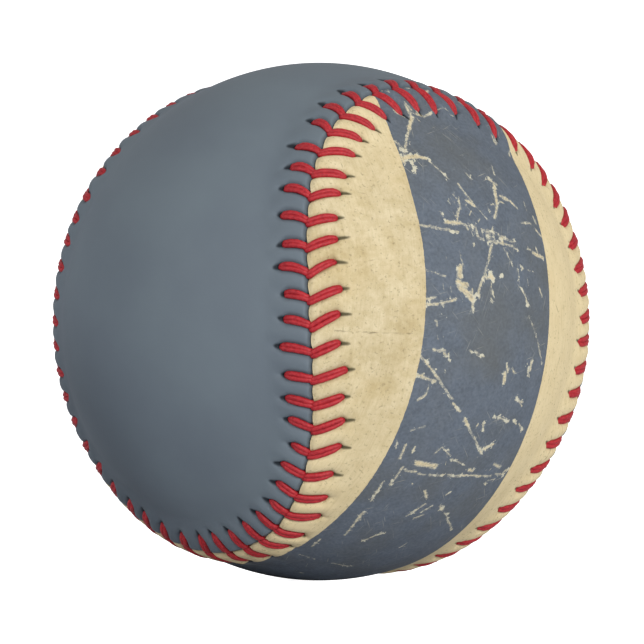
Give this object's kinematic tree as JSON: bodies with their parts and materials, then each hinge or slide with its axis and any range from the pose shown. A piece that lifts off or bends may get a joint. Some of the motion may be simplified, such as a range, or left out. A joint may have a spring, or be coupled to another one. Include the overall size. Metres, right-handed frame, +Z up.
{
  "type": "baseball",
  "caption": "Sewn leather ball with a two-panel cover, red double stitching, yarn windings and a cork and rubber core.",
  "frame": {"origin": "centre of the ball", "axes": "+Z up through the middle of the plain panel's waist, -Y to the side that the picture shows, +X to its right; the seam crosses the X and Y axes"},
  "size_m": [0.0784, 0.0784, 0.0746],
  "materials": {
    "cork": "granular, matt",
    "black_rubber": "moulded, matt",
    "red_rubber": "moulded, satin",
    "grey_wool": "four-ply wool yarn, fuzzy",
    "white_wool": "three-ply wool yarn, fuzzy",
    "white_cotton": "fine yarn under a film of rubber cement",
    "blue_grey_leather": "smooth, satin",
    "printed_leather": "aged, printed, matt",
    "red_thread": "waxed"
  },
  "bodies": {
    "root": {"cork_core": "cork", "black_rubber_shell_upper": "black_rubber", "black_rubber_shell_lower": "black_rubber", "rubber_gasket": "red_rubber", "red_rubber_shell_upper": "red_rubber", "red_rubber_shell_lower": "red_rubber", "grey_wool_winding_inner": "grey_wool", "white_wool_winding": "white_wool", "grey_wool_winding_outer": "grey_wool", "cotton_finish_winding": "white_cotton", "cover_panel_plain": "blue_grey_leather", "cover_panel_striped": "printed_leather", "stitching_thread": "red_thread"}
  },
  "joints": []
}
